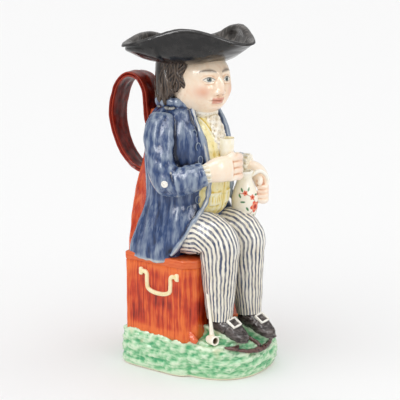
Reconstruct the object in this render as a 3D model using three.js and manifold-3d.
// A glazed earthenware toby jug: a seated sailor on a sea chest, pressed and fired as one hollow vessel.
// Millimetres, +Z up. The figure looks along -Y, and +X is its left. The origin is on the underside,
// below the middle of the figure.
import * as THREE from "three";
import { mergeVertices } from "three/addons/utils/BufferGeometryUtils.js";
import Module from "manifold-3d";

const wasm = await Module();
wasm.setup();

// Driving sizes
const FIGURE_HEIGHT = 190; // seat to the top of the hat; the figure's pose and carving are shares of it
const WALL = 5; // clay wall of the vessel
const FLOOR = 7; // clay under the hollow

const CHEST_HALF_WIDTH = 41;
const CHEST_FRONT = 30; // from the axis
const CHEST_BACK = 38;
const CHEST_HEIGHT = 67;
const CHEST_CHAMFER = 9; // canted front corners
const LID_HEIGHT = 7;
const LID_OVERHANG = 0.8;
const BAIL_WIDTH = 40; // chest handle, lug to lug
const BAIL_DROP = 16;
const BAIL_THICKNESS = 3.4;

const GROUND_HEIGHT = 34; // under the chest
const GROUND_RIM_HEIGHT = 20; // at the front edge
const GROUND_SIDE_MARGIN = 3; // ground that shows beyond the chest
const GROUND_BACK_MARGIN = 10;
const GROUND_UNDERCUT = 3; // how far the front of the ground draws in at its foot
const GROUND_TOE_MARGIN = 1; // ground before the toes, were the feet level with each other
const LEFT_STEP = 5.5; // the left foot is set forward
const LEFT_DROP = 4.2; // and low
const RIGHT_STEP = -2.3; // and the right foot back
const RIGHT_DROP = 1.2;

const BRIM_THICKNESS = 3.6;
const BRIM_CORNER_REACH = 58.5; // from the axis to each of the hat's three corners
const BRIM_FLAP_REACH = 48; // and to the middle of each turned-up side
const MOUTH_RADIUS = 20; // opening in the hat, where the crown would be
const LIP_WIDTH = 4;
const LIP_HEIGHT = 5; // stands up from the floor of the brim

const HANDLE_WIDTH = 20;
const HANDLE_THICKNESS = 6.5;
const HANDLE_REACH = 80.5; // from the axis to the back of the loop
const COAT_OVERHANG = 2; // skirts beyond the chest

const BEAKER_RADIUS = 6.1;
const BEAKER_HEIGHT = 24;
const SMALL_JUG_HEIGHT = 41;
const SMALL_JUG_RADIUS = 11.5;
const SHOE_LENGTH = 36;
const BUTTON_RADIUS = 3;
const BUCKLE_LENGTH = 11;
const BUCKLE_WIDTH = 8.5;
const BUCKLE_BAR = 1.8;
const PIPE_STEM_RADIUS = 1.7;
const PIPE_BOWL_RADIUS = 4;

// Levels and reaches that follow
const DRAWN_HEIGHT = 190; // the figure's tables are drawn at this height above the seat
const K = FIGURE_HEIGHT / DRAWN_HEIGHT;
const SEAT = GROUND_HEIGHT + CHEST_HEIGHT;
const HEEL_Y = -35 * K;
const GROUND_FRONT = -HEEL_Y + SHOE_LENGTH + GROUND_TOE_MARGIN;
const GROUND_BACK = CHEST_BACK + GROUND_BACK_MARGIN;
const GROUND_HALF_WIDTH = CHEST_HALF_WIDTH + GROUND_SIDE_MARGIN;
const BURY = 2; // how far a form runs into what carries it

const at = (x, y, z) => new THREE.Vector3(x * K, y * K, SEAT + z * K);
const mirrored = (p, side) => new THREE.Vector3(p.x * side, p.y, p.z);
const mix = THREE.MathUtils.lerp;
const smooth = (x, from, to) => THREE.MathUtils.smoothstep(x, from, to);
const bump = (x, middle, width) => Math.exp(-(((x - middle) / width) ** 2));

// Ways of shaping

// A closed solid from any geometry with a closed surface.
function toSolid(geometry) {
  const bare = geometry.index ? geometry.toNonIndexed() : geometry.clone();
  for (const name of Object.keys(bare.attributes)) if (name !== "position") bare.deleteAttribute(name);
  const merged = mergeVertices(bare, 1e-4);
  const index = merged.index.array;
  const faces = [];
  for (let i = 0; i < index.length; i += 3) {
    const [a, b, c] = [index[i], index[i + 1], index[i + 2]];
    if (a !== b && b !== c && a !== c) faces.push(a, b, c);
  }
  const vertProperties = merged.attributes.position.array;
  const made = (triVerts) =>
    new wasm.Manifold(new wasm.Mesh({ numProp: 3, vertProperties, triVerts: new Uint32Array(triVerts) }));
  const solid = made(faces);
  return solid.volume() > 0 ? solid : made(faces.reverse());
}

// A closed skin over rings that have the same number of points, capped at both ends.
function skin(rings) {
  const n = rings[0].length;
  const positions = rings.flat().flatMap((p) => [p.x, p.y, p.z]);
  const faces = [];
  for (let r = 0; r + 1 < rings.length; r++)
    for (let i = 0; i < n; i++) {
      const [a, b] = [r * n + i, r * n + ((i + 1) % n)];
      faces.push(a, b, b + n, a, b + n, a + n);
    }
  for (const r of [0, rings.length - 1]) {
    const middle = new THREE.Vector3();
    rings[r].forEach((p) => middle.addScaledVector(p, 1 / n));
    const tip = positions.length / 3;
    positions.push(middle.x, middle.y, middle.z);
    for (let i = 0; i < n; i++) {
      const [a, b] = [r * n + i, r * n + ((i + 1) % n)];
      faces.push(...(r === 0 ? [b, a, tip] : [a, b, tip]));
    }
  }
  const geometry = new THREE.BufferGeometry();
  geometry.setAttribute("position", new THREE.Float32BufferAttribute(positions, 3));
  geometry.setIndex(faces);
  return geometry;
}

// A level ring: a rounded box from -half to +half in x and from -front to +back in y. rightPower and frontPower,
// where they are given, square the -X side and the front by other amounts.
function levelRing(z, size) {
  const { half, front, back, power = 2.4, rightPower = power, frontPower, count = 24, centre = 0, swell } = size;
  const [middle, depth] = [(back - front) / 2, (back + front) / 2];
  return Array.from({ length: count }, (_, i) => {
    const angle = (2 * Math.PI * i) / count;
    const [c, s] = [Math.cos(angle), Math.sin(angle)];
    const n = s < 0 && frontPower ? frontPower : c < 0 ? rightPower : power;
    const out = (Math.abs(c) ** n + Math.abs(s) ** n) ** (-1 / n) * (swell ? 1 + swell(angle) : 1);
    return new THREE.Vector3(centre + half * c * out, middle + depth * s * out, z);
  });
}

// Reads a table of rows [key, value, value, ...] at a key, straight between rows.
function readTable(table, key) {
  const last = table.length - 1;
  if (key <= table[0][0]) return table[0].slice(1);
  if (key >= table[last][0]) return table[last].slice(1);
  const i = table.findIndex((row) => row[0] >= key);
  const share = (key - table[i - 1][0]) / (table[i][0] - table[i - 1][0]);
  return table[i].slice(1).map((v, k) => mix(table[i - 1][k + 1], v, share));
}

// A limb, strap or rod: an oval section run along a smooth curve. widths holds rows of
// [share of the length, half width across, half width along "up"].
function limb(points, widths, { steps = 8, sides = 8, up = [0, 0, 1], fold } = {}) {
  const curve = new THREE.CatmullRomCurve3(points);
  const rings = [];
  for (let i = 0; i <= steps; i++) {
    const t = i / steps;
    const along = curve.getTangentAt(t);
    const across = new THREE.Vector3().crossVectors(along, new THREE.Vector3(...up)).normalize();
    const rise = new THREE.Vector3().crossVectors(across, along).normalize();
    const [w, h] = readTable(widths, t);
    const middle = curve.getPointAt(t);
    const ring = Array.from({ length: sides }, (_, k) => {
      const angle = (2 * Math.PI * k) / sides;
      const out = fold ? 1 + fold(t, angle) : 1;
      const point = middle.clone().addScaledVector(across, w * Math.cos(angle) * out);
      return point.addScaledVector(rise, h * Math.sin(angle) * out);
    });
    rings.push(ring);
  }
  return skin(rings);
}

// A turned form standing on the point foot, with its axis leaning towards lean.
function turned(profile, segments, foot, lean = new THREE.Vector3(0, 0, 1)) {
  const outline = profile.map(([r, z]) => new THREE.Vector2(r, z));
  const axis = lean.clone().normalize();
  const turn = new THREE.Quaternion().setFromUnitVectors(new THREE.Vector3(0, 1, 0), axis);
  return new THREE.LatheGeometry(outline, segments).applyQuaternion(turn).translate(foot.x, foot.y, foot.z);
}

// A flat outline given thickness, with its face towards facing and its outline's y along up.
function plate(shape, depth, middle, facing, up) {
  const geometry = new THREE.ExtrudeGeometry(shape, { depth, bevelEnabled: false, curveSegments: 5 });
  const across = new THREE.Vector3().crossVectors(up, facing).normalize();
  const rise = new THREE.Vector3().crossVectors(facing, across).normalize();
  const frame = new THREE.Matrix4().makeBasis(across, rise, facing.clone().normalize());
  return geometry.applyMatrix4(frame.setPosition(middle));
}

// Ground

// Height of the ground's top: nearly level round the feet, rounding over at the front edge.
function groundTop(y) {
  const share = THREE.MathUtils.clamp((y + GROUND_FRONT) / (GROUND_FRONT - CHEST_FRONT), 0, 1);
  return mix(GROUND_RIM_HEIGHT, GROUND_HEIGHT - 2, 1 - (1 - share) ** 3);
}

function rearGround() {
  const ring = (z, inset) =>
    levelRing(z, {
      half: GROUND_HALF_WIDTH - inset,
      front: CHEST_FRONT - 2 - inset,
      back: GROUND_BACK - inset,
      power: 6,
    });
  const top = GROUND_HEIGHT;
  return skin([ring(0, 1.5), ring(2, 0), ring(top - 4, 0.5), ring(top, 3), ring(top, 12)]);
}

const FRONT_GROUND_CENTRE = 5; // the front of the ground stands a little to the figure's left

function frontGroundRing(inset, z) {
  return levelRing(z, {
    half: GROUND_HALF_WIDTH - inset,
    front: GROUND_FRONT - inset,
    back: GROUND_BACK / 2,
    centre: FRONT_GROUND_CENTRE,
    power: 3.4,
    rightPower: 2.1,
    count: 22,
    swell: (angle) => 0.012 * Math.sin(7 * angle + 1) + 0.008 * Math.sin(11 * angle),
  });
}

function frontGround() {
  const rows = [[0, 1], [0.25, 0.35], [0.6, 0], [0.9, 0.35], [1, 1.4], [1.02, 4]];
  const rings = rows.map(([share, inset]) => {
    const ring = frontGroundRing(inset * GROUND_UNDERCUT, 0);
    ring.forEach((p) => (p.z = share * groundTop(p.y)));
    return ring;
  });
  return skin(rings);
}

// Sea chest

function chestOutline(grow) {
  const [half, front, back] = [CHEST_HALF_WIDTH + grow, CHEST_FRONT + grow, CHEST_BACK + grow];
  return new THREE.Shape([
    new THREE.Vector2(-half, back),
    new THREE.Vector2(-half, -front + CHEST_CHAMFER),
    new THREE.Vector2(-half + CHEST_CHAMFER, -front),
    new THREE.Vector2(half - CHEST_CHAMFER, -front),
    new THREE.Vector2(half, -front + CHEST_CHAMFER),
    new THREE.Vector2(half, back),
  ]);
}

function chest() {
  const height = CHEST_HEIGHT + BURY - 1;
  const body = new THREE.ExtrudeGeometry(chestOutline(0), { depth: height, bevelEnabled: false });
  const lidOptions = { depth: LID_HEIGHT, bevelEnabled: false };
  const lid = new THREE.ExtrudeGeometry(chestOutline(LID_OVERHANG), lidOptions);
  return [body.translate(0, 0, GROUND_HEIGHT - BURY), lid.translate(0, 0, SEAT - LID_HEIGHT)];
}

// The raised bail handle on each end of the chest, hanging from two flat lugs.
function chestHandle(side) {
  const x = side * CHEST_HALF_WIDTH;
  const top = SEAT - LID_HEIGHT - 8;
  const middle = (CHEST_BACK - CHEST_FRONT) / 2 - 1;
  const half = BAIL_WIDTH / 2;
  const inner = half * 0.6;
  const path = [
    [half, 0],
    [inner, -0.5],
    [inner, -BAIL_DROP + 5],
    [inner - 4, -BAIL_DROP],
    [-inner + 4, -BAIL_DROP],
    [-inner, -BAIL_DROP + 5],
    [-inner, -0.5],
    [-half, 0],
  ].map(([y, z]) => new THREE.Vector3(x, middle + y, top + z));
  const thick = BAIL_THICKNESS / 2;
  return limb(path, [[0, thick, thick]], { steps: 14, sides: 5, up: [1, 0, 0] });
}

// The small carved foot at each front corner of the chest.
function chestFoot(side) {
  const x = side * (CHEST_HALF_WIDTH - CHEST_CHAMFER / 2);
  const y = -CHEST_FRONT + CHEST_CHAMFER / 2;
  const z = groundTop(-CHEST_FRONT);
  const points = [
    new THREE.Vector3(x * 0.94, y + 2, z + 6),
    new THREE.Vector3(x, y - 3, z + 2.5),
    new THREE.Vector3(x * 1.02, y - 7, z - 0.5),
  ];
  return limb(points, [[0, 2, 2], [0.6, 3.2, 3], [1, 1.6, 1.4]], { steps: 3, sides: 6 });
}

// Coat and back

// Rows of [height, half width, front, back, squareness] for the coat and the body in it.
const TORSO = [
  [-4, 41, 9, 38, 4.4],
  [3, 41, 11, 38, 4.2],
  [14, 40, 20, 36.5, 3.4],
  [30, 38, 26, 34.5, 2.8],
  [46, 36, 27, 34, 2.5],
  [64, 35, 29, 35, 2.3],
  [92, 36, 28.5, 35.5, 2.3],
  [108, 34, 23, 32.5, 2.3],
  [119, 28, 17, 28, 2.2],
  [126, 20, 14, 22, 2.2],
];

// The coat's size at a height: its skirts are as wide as the chest they cover.
function torsoSize([h, half, front, back, power]) {
  const skirt = 1 - smooth(h, 3, 46);
  return {
    half: mix(half * K, CHEST_HALF_WIDTH + COAT_OVERHANG, skirt),
    front: front * K,
    back: mix(back * K, CHEST_BACK + COAT_OVERHANG / 2, skirt),
    power,
    frontPower: power + 2.4 * (1 - smooth(h, 24, 46)), // the fronts of the skirts are squared, over the thighs
  };
}

function torso() {
  const folds = (h) => (angle) => {
    const atSides = Math.abs(Math.cos(angle)) > 0.3 ? 1 : 0.3;
    return (1 - smooth(h, 10, 45)) * 0.018 * Math.sin(11 * angle + 0.5) * atSides;
  };
  const ring = (row) => levelRing(SEAT + row[0] * K, { ...torsoSize(row), count: 22, swell: folds(row[0]) });
  return skin(TORSO.map(ring));
}

// The board that backs the figure, from the handle's foot down to the chest.
function backBoard() {
  const rows = [
    [-4, 36, 41.5],
    [4, 34, 42],
    [18, 31, 42.5],
    [34, 27, 43.3],
    [50, 21.5, 44],
    [66, 17, 44],
    [92, 14, 43],
    [110, 11, 40],
    [118, 9, 36],
  ];
  const bevel = 3;
  const rings = rows.map(([h, half, back]) => {
    const [x, y] = [half * K, h <= 4 ? Math.max(back * K, CHEST_BACK + BURY) : back * K];
    const corners = [[-x, 20], [x, 20], [x, y - bevel], [x - bevel, y], [-x + bevel, y], [-x, y - bevel]];
    return corners.map(([cx, cy]) => new THREE.Vector3(cx, cy, SEAT + h * K));
  });
  return skin(rings);
}

// The coat's fronts lie a little further open on its left, above the lap.
const openness = (side, h) => 1 + (side > 0 ? 0.1 : -0.05) * smooth(h, 20, 50);

// Each front edge of the coat, from the collar down to the lap, as a raised hem.
function coatEdge(side) {
  const rows = [
    [13, -12, 129],
    [17.5, -15, 120],
    [18.5, -20.5, 108],
    [17.5, -26, 92],
    [16.5, -29, 76],
    [16.5, -29.5, 60],
    [18, -28.5, 48],
    [26, -28, 39],
    [33, -26, 31],
    [37.5, -19, 17],
    [40.5, -8, 2],
  ];
  const points = rows.map(([x, y, h]) => mirrored(at(x * openness(side, h), y, h), side));
  return limb(points, [[0, 2, 3], [0.2, 3.6, 3], [1, 1.8, 2]], { steps: 8, sides: 5, up: [0, 1, 0] });
}

function collar() {
  const half = [[16, -9, 126], [22, 4, 127], [16, 18, 127]];
  const left = half.map(([x, y, h]) => at(x, y, h));
  const right = left.map((p) => mirrored(p, -1)).reverse();
  const widths = [[0, 3, 4], [0.5, 5, 6], [1, 3, 4]];
  return limb([...left, at(0, 24, 127), ...right], widths, { steps: 8, sides: 6 });
}

function waistcoat() {
  const rows = [
    [31, 15, 25, 2.2],
    [37, 20, 30.5, 2.3],
    [50, 21.5, 34, 2.3],
    [66, 21, 34.5, 2.3],
    [84, 19.5, 32.5, 2.3],
    [100, 18, 28, 2.2],
    [114, 14, 22, 2.2],
    [122, 9, 16, 2.2],
  ];
  const ring = ([h, half, front, power]) =>
    levelRing(SEAT + h * K, { half: half * K, front: front * K, back: 0, power, count: 16 });
  return skin(rows.map(ring));
}

// The pocket flap on each side of the waistcoat.
function pocket(side) {
  const [half, drop] = [6 * K, 11 * K];
  const shape = new THREE.Shape([
    new THREE.Vector2(-half, 0),
    new THREE.Vector2(-half, -drop * 0.8),
    new THREE.Vector2(0, -drop),
    new THREE.Vector2(half, -drop * 0.8),
    new THREE.Vector2(half, 0),
  ]);
  const facing = new THREE.Vector3(side * 0.45, -1, 0.1).normalize();
  return plate(shape, 3, at(side * 9, -30.5, 53), facing, new THREE.Vector3(0, 0, 1));
}

// The knotted neckcloth and the frill that falls from it.
function neckcloth() {
  const knotPath = [at(-14, -9, 121), at(-7, -19, 119.5), at(7, -19, 119.5), at(14, -9, 121)];
  const knot = limb(knotPath, [[0, 3, 5], [0.5, 4.5, 5.5], [1, 3, 5]], { steps: 6, sides: 6 });
  const frillPath = [at(0, -19, 119), at(1, -25.5, 108), at(1, -30, 96), at(1, -32.5, 84)];
  const frill = limb(frillPath, [[0, 7, 3.5], [0.5, 8, 3.5], [0.85, 6.5, 3], [1, 3, 2]], {
    steps: 4,
    sides: 8,
    up: [0, 1, 0],
    fold: (t, angle) => 0.12 * Math.sin(3 * angle + 9 * t),
  });
  return [knot, frill];
}

// Arms

const scaled = (rows) => rows.map(([t, w, h]) => [t, w * K, h * K]);

function sleeve(side) {
  const reach = side > 0 ? 4 : 0;
  const points = [
    [26, 9, 116],
    [35, 6, 106],
    [40, 2, 90],
    [42.5, -3, 75],
    [43.5, -8, 66],
    [40 + reach, -17, 65],
    [33 + reach, -26, 69],
    [26 + reach * 2, -33, 72],
  ].map(([x, y, h]) => mirrored(at(x, y, h), side));
  const wrinkles = (t, angle) =>
    0.05 * Math.sin(26 * t + 2 * angle) * bump(t, 0.52, 0.22) + 0.03 * Math.sin(3 * angle + 8 * t);
  const widths = scaled([
    [0, 11, 9],
    [0.15, 13.5, 10],
    [0.4, 12.5, 9.5],
    [0.58, 12.5, 10],
    [0.8, 10.5, 9.5],
    [1, 7.5, 7.5],
  ]);
  return limb(points, widths, { steps: 9, sides: 8, fold: wrinkles, up: [1, 0, 0] });
}

// The deep turned-back cuff, with a cut edge.
function cuff(side) {
  const reach = side > 0 ? 4 : 0;
  const points = [
    [43 + reach / 2, -14, 65],
    [35 + reach, -24.5, 68.5],
    [26 + reach * 2, -33, 72],
  ].map(([x, y, h]) => mirrored(at(x, y, h), side));
  const cut = (t, angle) => (t > 0.7 ? 0.08 * Math.sin(5 * angle) : 0);
  const widths = scaled([[0, 11.6, 10.6], [0.5, 11.4, 11], [1, 10, 9.5]]);
  return limb(points, widths, { steps: 2, sides: 9, fold: cut, up: [1, 0, 0] });
}

function cuffButton(side) {
  const profile = [[0, 0], [BUTTON_RADIUS, 0], [BUTTON_RADIUS, 3], [BUTTON_RADIUS * 0.6, 3.8], [0, 3.8]];
  const out = new THREE.Vector3(side * 0.95, -0.3, 0);
  return turned(profile, 9, mirrored(at(50, -11, 65.5), side), out);
}

// The shirt frill at a wrist.
function wristFrill(middle, along, radius) {
  const points = [-4, 0, 4].map((s) => middle.clone().addScaledVector(along, s * K));
  const fold = (t, angle) => 0.1 * Math.sin(5 * angle + 3 * t);
  const widths = [[0, radius * 0.8, radius], [1, radius * 0.9, radius * 1.1]];
  return limb(points, widths, { steps: 1, sides: 8, fold });
}

// Hands and what they hold

// A closed hand: its back runs from wrist to knuckles, and four fingers curl on from there to the tips.
function hand({ wrist, back, knuckles, bend, tips, spread, width, finger }) {
  const up = spread.toArray();
  const palmShares = [[0, 0.62, 0.75], [0.5, 0.7, 1], [1, 0.5, 0.95]];
  const palmWidths = palmShares.map(([t, w, h]) => [t, w * width, h * width]);
  const palm = limb([wrist, back, knuckles], palmWidths, { steps: 4, sides: 8, up });
  const fingers = [-1.5, -0.5, 0.5, 1.5].map((place) => {
    const shift = spread.clone().multiplyScalar(place * finger * 1.85);
    const start = knuckles.clone().lerp(back, 0.4).add(shift);
    const path = [start, knuckles.clone().add(shift), bend.clone().add(shift), tips.clone().add(shift)];
    const widths = [[0, finger, finger], [0.85, finger, finger], [1, finger * 0.6, finger * 0.6]];
    return limb(path, widths, { steps: 3, sides: 5, up });
  });
  return [palm, ...fingers];
}

const BEAKER = { x: 1, y: -36.5, top: 98 };

function rightHand() {
  const round = BEAKER_RADIUS / K;
  return hand({
    wrist: at(-24, -32.5, 72),
    back: at(-15, -39.5, 74.5),
    knuckles: at(BEAKER.x - round, BEAKER.y - round - 3.5, 75),
    bend: at(BEAKER.x + round - 1, BEAKER.y - round - 3.5, 75),
    tips: at(BEAKER.x + round + 3, BEAKER.y + 1, 75),
    spread: new THREE.Vector3(0.1, 0.08, 1).normalize(),
    width: 10.5 * K,
    finger: 2.8 * K,
  });
}

function beaker() {
  const foot = at(BEAKER.x, BEAKER.y, BEAKER.top).sub(new THREE.Vector3(0, 0, BEAKER_HEIGHT));
  const [r, h] = [BEAKER_RADIUS, BEAKER_HEIGHT];
  const inner = r - 1.4;
  const profile = [[0, 0], [r * 0.85, 0], [r, h], [inner, h], [inner * 0.9, h - 7], [0, h - 7]];
  return turned(profile, 10, foot, new THREE.Vector3(-0.03, -0.02, 1));
}

const SMALL_JUG_FOOT = at(27, -38.5, 26);
const SMALL_JUG_LEAN = new THREE.Vector3(-0.02, 0.01, 1);
const GRIP_SIDE = new THREE.Vector3(0.72, -0.69, 0); // the side its handle is on
const onSmallJug = (reach, share) =>
  SMALL_JUG_FOOT.clone()
    .addScaledVector(SMALL_JUG_LEAN, share * SMALL_JUG_HEIGHT)
    .addScaledVector(GRIP_SIDE, reach * SMALL_JUG_RADIUS);

function smallJug() {
  const [r, h] = [SMALL_JUG_RADIUS, SMALL_JUG_HEIGHT];
  const profile = [
    [0, -4],
    [r * 0.6, -4],
    [r * 0.92, 0.18 * h],
    [r, 0.38 * h],
    [r * 0.88, 0.58 * h],
    [r * 0.56, 0.8 * h],
    [r * 0.64, h],
    [r * 0.5, h],
    [r * 0.44, h * 0.85],
    [0, h * 0.85],
  ];
  const grip = [[0.5, 0.9], [1.3, 0.97], [1.72, 0.8], [1.62, 0.56], [0.85, 0.45]];
  const spout = [[-0.2, 0.84], [-0.6, 0.92], [-0.85, 1]];
  return [
    turned(profile, 12, SMALL_JUG_FOOT, SMALL_JUG_LEAN),
    limb(grip.map((p) => onSmallJug(...p)), [[0, 1.7, 2.4]], { steps: 6, sides: 5, up: [0.69, 0.72, 0] }),
    limb(spout.map((p) => onSmallJug(...p)), [[0, 3, 4], [1, 1.4, 1.2]], { steps: 2, sides: 6 }),
  ];
}

function leftHand() {
  return hand({
    wrist: at(38, -31, 70.5),
    back: at(41, -44, 66),
    knuckles: at(41.5, -51, 53),
    bend: at(39, -55, 47.5),
    tips: at(33, -48, 47),
    spread: new THREE.Vector3(0.2, 0.12, 1).normalize(),
    width: 7 * K,
    finger: 2.1 * K,
  });
}

// Legs and shoes

const SHOE_X = 17;

const stepOf = (side) => (side > 0 ? LEFT_STEP : RIGHT_STEP);
const dropOf = (side) => (side > 0 ? LEFT_DROP : RIGHT_DROP);
const heelOf = (side) => HEEL_Y - stepOf(side);

// Height of a shoe's sole: the feet slope down towards the toes.
function solePlane(side, y) {
  const rise = smooth(y, heelOf(side) - SHOE_LENGTH, heelOf(side));
  return mix(GROUND_HEIGHT - 0.5, GROUND_HEIGHT + 6.5, rise) - dropOf(side);
}

function trouserLeg(side) {
  const knee = side > 0 ? -45 : -41.5; // the left knee is further forward and lower
  const low = side > 0 ? 2 : 0;
  const hemY = heelOf(side) - 9.5;
  const hem = solePlane(side, hemY) + 10.5;
  const points = [
    mirrored(at(18, 4, 17), side),
    mirrored(at(19, -14, 18.5 - low), side),
    mirrored(at(19.5, knee + 11, 20.5 - low), side),
    mirrored(at(19, knee, 13.5 - low), side),
    mirrored(at(18.5, knee - 1, 0), side),
    new THREE.Vector3(side * 18 * K, mix(hemY, (knee - 1) * K, 0.6), mix(hem, SEAT, 0.5)),
    new THREE.Vector3(side * SHOE_X * K, hemY, hem),
  ];
  const widths = scaled([
    [0, 17, 16],
    [0.2, 17.5, 17],
    [0.36, 18, 17],
    [0.5, 16.5, 15.5],
    [0.64, 15, 14],
    [0.85, 13, 12],
    [1, 10.8, 10.5],
  ]);
  // The underside of the thigh is pressed flat where it lies on the chest.
  const flat = (t, angle) => 0.09 * Math.sin(2 * angle) ** 2 * (1 - smooth(t, 0.25, 0.4)) * (Math.cos(angle) < 0);
  const folds = (t, angle) => 0.02 * Math.sin(4 * angle) * smooth(t, 0.5, 0.9) + flat(t, angle);
  return limb(points, widths, { steps: 9, sides: 10, up: [1, 0, 0], fold: folds });
}

// Clay left between and behind the legs, in front of the chest.
function legWeb() {
  const rows = [[groundTop(-CHEST_FRONT) - BURY, 20], [SEAT - 20, 23], [SEAT + 22 * K, 25]];
  const rings = rows.map(([z, half]) => {
    const x = half * K;
    const corners = [[-x, -4], [x, -4], [x, -33], [8, -39], [-8, -39], [-x, -33]];
    return corners.map(([cx, cy]) => new THREE.Vector3(cx, cy, z));
  });
  return skin(rings);
}

// Rows of [share from heel to toe, half width, height] of a shoe.
const SHOE = [
  [0, 4.5, 11],
  [0.12, 8, 13],
  [0.35, 9.3, 15.5],
  [0.6, 9.6, 14.5],
  [0.78, 8.8, 11],
  [0.92, 6.5, 7.5],
  [1, 3, 4.5],
];

function shoe(side) {
  const rings = SHOE.map(([share, half, height]) => {
    const y = heelOf(side) - share * SHOE_LENGTH;
    const low = solePlane(side, y);
    const centre = side * (SHOE_X - 2 * share) * K;
    return Array.from({ length: 10 }, (_, i) => {
      const angle = (2 * Math.PI * i) / 10;
      const rise = Math.sign(Math.sin(angle)) * Math.abs(Math.sin(angle)) ** 0.8;
      return new THREE.Vector3(centre + half * K * Math.cos(angle), y, low + (height * K * (1 + rise)) / 2);
    });
  });
  return skin(rings);
}

// The mound of clay that carries a shoe down to the ground.
function shoeMound(side) {
  const centre = side * (SHOE_X - 1) * K;
  const ring = (z, grow) => {
    const front = -heelOf(side) + SHOE_LENGTH * 0.78 + grow;
    return levelRing(z, { half: 8.5 * K + grow, front, back: heelOf(side) + 8, centre, count: 10 });
  };
  const level = GROUND_HEIGHT - dropOf(side);
  const rings = [ring(GROUND_RIM_HEIGHT * 0.6, 1), ring(level - 4, 1), ring(level - 1, 0)];
  const top = ring(0, -1);
  top.forEach((p) => (p.z = solePlane(side, p.y) + 3));
  return skin([...rings, top]);
}

function shoeBuckle(side) {
  const [length, width] = [BUCKLE_LENGTH / 2, BUCKLE_WIDTH / 2];
  const outline = (inset) => [
    new THREE.Vector2(-length + inset, -width + inset),
    new THREE.Vector2(length - inset, -width + inset),
    new THREE.Vector2(length - inset, width - inset),
    new THREE.Vector2(-length + inset, width - inset),
  ];
  const shape = new THREE.Shape(outline(0));
  shape.holes.push(new THREE.Path(outline(BUCKLE_BAR)));
  const share = 0.64;
  const y = heelOf(side) - share * SHOE_LENGTH;
  const [, height] = readTable(SHOE, share);
  const middle = new THREE.Vector3(side * (SHOE_X - 2 * share) * K, y, solePlane(side, y) + height * K - 2);
  return plate(shape, 3, middle, new THREE.Vector3(0, -0.55, 0.83), new THREE.Vector3(0, 0, 1));
}

// Head, hair and hat

const HEAD = { y: -10, h: 143, half: 23.5, depth: 29, height: 27 };
const HEAD_TURN = THREE.MathUtils.degToRad(22); // the figure looks a little to its right

// How far the face stands out from the plain head, in drawn millimetres, at a place across (x) and up (h).
function faceRelief(x, h) {
  const across = Math.abs(x);
  const nose = 6 * bump(x, 0, 3.4) * bump(h, 138.5, 5) + 2.4 * bump(x, 0, 2.8) * bump(h, 146, 4.5);
  const wings = 1.5 * bump(across, 3.6, 1.8) * bump(h, 136.5, 2.4);
  const sockets = -2 * bump(across, 9, 4.2) * bump(h, 147, 3.4);
  const brows = 1.3 * bump(across, 9, 6) * bump(h, 152.5, 2.4);
  const cheeks = 1.6 * bump(across, 12.5, 5.5) * bump(h, 137, 6);
  const lips = 1.5 * bump(x, 0, 5.5) * bump(h, 131, 2.4);
  const chin = 2 * bump(x, 0, 6) * bump(h, 124.5, 3.4);
  return nose + wings + sockets + brows + cheeks + lips + chin;
}

function head() {
  const count = 20;
  const levels = [118, 121, 124.5, 128, 131, 134, 137, 140.5, 145, 149, 153, 165];
  const rings = levels.map((h) => {
    const rise = (h - HEAD.h) / HEAD.height;
    const jaw = Math.sqrt(Math.max(0.02, 1 - Math.abs(rise) ** 2.5));
    return Array.from({ length: count }, (_, i) => {
      const turn = (2 * i) / count - 1;
      const angle = -Math.PI / 2 + Math.PI * Math.sign(turn) * Math.abs(turn) ** 1.5;
      const x = HEAD.half * jaw * Math.cos(angle);
      const front = -Math.sin(angle);
      const relief = front > 0.15 ? faceRelief(x, h) * smooth(front, 0.15, 0.6) : 0;
      const y = -HEAD.depth * jaw * front - relief;
      const [c, s] = [Math.cos(HEAD_TURN), Math.sin(HEAD_TURN)];
      return at(x * c + y * s, HEAD.y + y * c - x * s, h);
    });
  });
  return skin(rings);
}

function neck() {
  const size = { half: 17 * K, front: 17 * K, back: 18 * K, power: 2, count: 12 };
  return skin([levelRing(SEAT + 104 * K, size), levelRing(SEAT + 134 * K, size)]);
}

// Long hair round the back and sides of the head, gathered into wavy locks.
function hair() {
  const rows = [[127, 0.9], [134, 1], [145, 1.02], [162, 1]];
  const mass = rows.map(([h, grow]) => {
    const size = { half: 24.5 * K * grow, front: 4 * K, back: 27 * K * grow, power: 2.2, count: 16 };
    return levelRing(SEAT + h * K, size);
  });
  const count = 8;
  const locks = Array.from({ length: count }, (_, i) => {
    const angle = mix(-0.4, Math.PI + 0.4, i / (count - 1)) - HEAD_TURN * 0.75;
    const wave = i % 2 ? 1 : -1;
    const rows = [[163, 1], [150, 1.05], [138, 1.06], [127 + 2 * wave, 0.98]];
    const path = rows.map(([h, out], k) => {
      const sway = angle + 0.05 * wave * (k % 2 ? 1 : -1);
      return at(24.5 * out * Math.cos(sway), 0.5 + 26.5 * out * Math.sin(sway), h);
    });
    const up = [Math.cos(angle), Math.sin(angle), 0];
    return limb(path, scaled([[0, 5.4, 2.6], [0.7, 5.6, 3.2], [1, 1.8, 1.4]]), { steps: 3, sides: 5, up });
  });
  return [skin(mass), ...locks];
}

// The cocked hat: a brim turned up on three sides, open in the middle where liquor is poured in and out.
const HAT_FLOOR = 166; // floor of the brim, above the seat
const BACK_FLAP_DROP = 7; // the side at the back is turned up less
const CORNER_DROP = 14.5;
const cornerShare = (angle) => (1 + Math.cos(3 * (angle + Math.PI / 2))) / 2; // 1 at the three corners
const backShare = (angle) => Math.max(0, Math.sin(angle)) ** 2;

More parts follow.
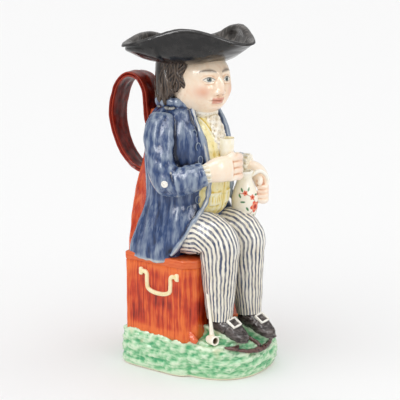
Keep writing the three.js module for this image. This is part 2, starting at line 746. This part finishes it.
function hat() {
  const count = 30;
  const [cornerOut, flapOut] = [BRIM_CORNER_REACH / K, BRIM_FLAP_REACH / K];
  const thick = BRIM_THICKNESS / K;
  const lipOut = (MOUTH_RADIUS + LIP_WIDTH) / K;
  const lipTop = HAT_FLOOR + LIP_HEIGHT / K;
  const [flapTop, cornerTop] = [DRAWN_HEIGHT, DRAWN_HEIGHT - CORNER_DROP];
  // Rows of [reach, height at a flap's middle, reach, height at a corner], underside first. The last two are the
  // lip, which is level all the way round.
  const rows = [
    [24, 158.5, 24, 158.5],
    [flapOut - 11, 161.5, cornerOut - 20, 163.5],
    [flapOut - 3.5, 168, cornerOut - 9, 169],
    [flapOut - 0.5, 178, cornerOut - 2.5, 174],
    [flapOut, flapTop - 1, cornerOut, cornerTop - 1.5],
    [flapOut - thick / 2, flapTop, cornerOut - 0.8, cornerTop],
    [flapOut - thick, flapTop - 1, cornerOut - 3, cornerTop - 0.6],
    [flapOut - thick - 1.5, 178, cornerOut - 9, 174],
    [flapOut - thick - 7, 168.5, cornerOut - 18, 169.5],
    [lipOut + 2.5, HAT_FLOOR, lipOut + 2.5, HAT_FLOOR],
    [lipOut, lipTop, lipOut, lipTop],
  ];
  const rings = rows.map(([flapReach, flapHeight, cornerReach, cornerHeight], row) =>
    Array.from({ length: count }, (_, i) => {
      const angle = (2 * Math.PI * i) / count;
      const corner = cornerShare(angle);
      const out = mix(flapReach, cornerReach, corner ** 1.7);
      const high = row < rows.length - 2 ? Math.max(0, flapHeight - HAT_FLOOR) / (flapTop - HAT_FLOOR) : 0;
      const drop = BACK_FLAP_DROP * backShare(angle) * high;
      const height = mix(flapHeight, cornerHeight, corner ** 1.1) - drop;
      return at(out * Math.cos(angle), out * Math.sin(angle), height);
    }),
  );
  return skin(rings);
}

// Handle

function handle() {
  const back = HANDLE_REACH / K;
  const points = [
    [34, 98],
    [39.5, 109],
    [41.5, 121],
    [43.5, 133],
    [50, 143],
    [back - 19, 146],
    [back - 8.5, 139],
    [back - 2, 124],
    [back, 109],
    [back - 4, 91],
    [back - 13, 75],
    [back - 25, 65.5],
    [36, 63],
  ].map(([y, h]) => at(0, y, h).sub(new THREE.Vector3(0, HANDLE_THICKNESS / 2, 0)));
  const [w, t] = [HANDLE_WIDTH / 2, HANDLE_THICKNESS / 2];
  const widths = [[0, t * 1.3, w * 1.1], [0.15, t, w], [0.9, t, w * 0.92], [1, t * 1.2, w]];
  return limb(points, widths, { steps: 15, sides: 8, up: [1, 0, 0] });
}

// Things on the ground

function pipe() {
  const point = (x, y, up) => new THREE.Vector3(x * K, y * K, GROUND_HEIGHT - BURY + up);
  const r = PIPE_STEM_RADIUS;
  const stemPath = [point(-29, -38, 42), point(-29.5, -41, 22), point(-30.5, -44, 3)];
  const stem = limb(stemPath, [[0, r, r], [1, r * 1.2, r * 1.2]], { steps: 3, sides: 6, up: [0, 1, 0] });
  const b = PIPE_BOWL_RADIUS;
  const profile = [[0, -2], [b * 0.8, -1], [b, 3], [b, 8], [b * 0.6, 8], [b * 0.5, 3], [0, 3]];
  const bowl = turned(profile, 8, point(-30.5, -41, 3), new THREE.Vector3(-0.25, -0.9, 0.05));
  return [stem, bowl];
}

// The anchor half buried in the ground before the feet.
function anchor() {
  const point = (x, inset, up) => {
    const y = -GROUND_FRONT + inset;
    return new THREE.Vector3(x * K, y, groundTop(y) + up);
  };
  const shankPath = [point(3, 18, 1.5), point(4, 8, 2), point(4, 2.5, 2.5)];
  const shank = limb(shankPath, [[0, 1.8, 1.8]], { steps: 2, sides: 6 });
  const bend = [[-25, 12, 0.5], [-12, 4, 1.5], [3, 1, 2], [18, 2, 2], [33, 8.5, 1.5]];
  const armPath = bend.map((place) => point(...place));
  const arms = limb(armPath, [[0, 1.4, 1.4], [0.5, 2.6, 2.6], [1, 1.4, 1.4]], { steps: 6, sides: 5 });
  const fluke = (from, middle, to) =>
    limb([from, middle, to], [[0, 0.8, 0.8], [0.5, 2.8, 2], [1, 0.8, 0.8]], { steps: 2, sides: 5 });
  const near = fluke(point(-29, 17, 0.5), point(-23, 11, 1.5), point(-15, 12, 1.5));
  const far = fluke(point(33, 4, 0.5), point(32, 9, 2), point(25, 14, 1));
  return [shank, arms, near, far];
}

// The hollow

// Insides of the body: rows of [height, half width, front, back, squareness], a wall in from the clay.
function cavity() {
  const chestFront = CHEST_FRONT - WALL - CHEST_CHAMFER / 2;
  const [chestHalf, chestBack] = [CHEST_HALF_WIDTH - WALL, CHEST_BACK - WALL];
  const lapFront = 4; // under the lap the hollow draws back behind the thighs
  const passage = HEAD.half * K - WALL - 1;
  const figure = TORSO.filter(([h]) => [14, 46, 64, 92, 108].includes(h)).map((row) => {
    const { half, front, back, power } = torsoSize(row);
    const lap = 1 - smooth(row[0], 14, 46);
    return [SEAT + row[0] * K, half - WALL - 1, mix(front - WALL, lapFront, lap), back - WALL, power];
  });
  const hatUnder = SEAT + 158.5 * K;
  const throat = MOUTH_RADIUS - WALL; // narrower under the hat, where the head's crown rounds in
  const rows = [
    [FLOOR, chestHalf - 2, chestFront, chestBack - 1, 3.4],
    [GROUND_HEIGHT, chestHalf, chestFront, chestBack, 3.6],
    [SEAT - 9, chestHalf, chestFront, chestBack, 3.6],
    [SEAT, chestHalf - 1, lapFront, chestBack, 3.6],
    ...figure,
    [SEAT + 119 * K, 17 * K, 11 * K, 19 * K, 2],
    [SEAT + 128 * K, 16 * K, 14 * K, 17 * K, 2],
    [SEAT + 142 * K, passage, passage + 1, passage, 2],
    [hatUnder - 8, passage, passage, passage, 2],
    [hatUnder - 1, throat, throat, throat, 2],
    [hatUnder + 1, throat, throat, throat, 2],
    [hatUnder + 5, MOUTH_RADIUS, MOUTH_RADIUS, MOUTH_RADIUS, 2],
    [SEAT + HAT_FLOOR * K + LIP_HEIGHT + 4, MOUTH_RADIUS, MOUTH_RADIUS, MOUTH_RADIUS, 2],
  ];
  const ring = ([z, half, front, back, power]) => levelRing(z, { half, front, back, power, count: 14 });
  return skin(rows.map(ring));
}

// The hollow under the front of the ground, open to the hollow of the chest.
function groundHollow() {
  const inset = WALL + GROUND_UNDERCUT;
  const top = GROUND_RIM_HEIGHT + 1 - WALL;
  const rows = [[inset + 2, FLOOR], [inset, FLOOR + 3], [inset + 3, top]];
  return skin(rows.map(([reach, z]) => frontGroundRing(reach, z)));
}

// The whole jug as one solid
function clay() {
  const rightWrist = [at(-22.5, -35, 72), new THREE.Vector3(0.8, -0.55, 0.15)];
  const leftWrist = [at(37, -33, 72), new THREE.Vector3(0.1, -0.98, 0)];
  const sides = [-1, 1];
  const forms = [
    rearGround(),
    frontGround(),
    ...chest(),
    ...sides.map(chestHandle),
    ...sides.map(chestFoot),
    torso(),
    backBoard(),
    ...sides.map(coatEdge),
    collar(),
    waistcoat(),
    ...sides.map(pocket),
    ...neckcloth(),
    ...sides.map(sleeve),
    ...sides.map(cuff),
    ...sides.map(cuffButton),
    ...rightHand(),
    ...leftHand(),
    wristFrill(...rightWrist, 8 * K),
    wristFrill(...leftWrist, 8 * K),
    beaker(),
    ...smallJug(),
    ...sides.map(trouserLeg),
    legWeb(),
    ...sides.map(shoe),
    ...sides.map(shoeMound),
    ...sides.map(shoeBuckle),
    neck(),
    head(),
    ...hair(),
    hat(),
    handle(),
    ...pipe(),
    ...anchor(),
  ];
  const joined = wasm.Manifold.union(forms.map(toSolid));
  // Pockets closed in between the forms are solid clay.
  const shells = joined.decompose().filter((shell) => shell.volume() > 0);
  return wasm.Manifold.union(shells).subtract(toSolid(cavity())).subtract(toSolid(groundHollow()));
}

function meshOf(solid, name, material) {
  const { numProp, vertProperties, triVerts } = solid.getMesh();
  const positions = new Float32Array((vertProperties.length / numProp) * 3);
  for (let i = 0; i < positions.length / 3; i++)
    for (let k = 0; k < 3; k++) positions[i * 3 + k] = vertProperties[i * numProp + k];
  const geometry = new THREE.BufferGeometry();
  geometry.setAttribute("position", new THREE.BufferAttribute(positions, 3));
  geometry.setIndex(Array.from(triVerts));
  geometry.computeVertexNormals();
  const mesh = new THREE.Mesh(geometry, material);
  mesh.name = name;
  return mesh;
}

const glazed = new THREE.MeshStandardMaterial({ color: 0xe9e2cf, roughness: 0.25, metalness: 0 });
const jug = new THREE.Group();
jug.add(meshOf(clay(), "toby_jug", glazed));

export default jug;
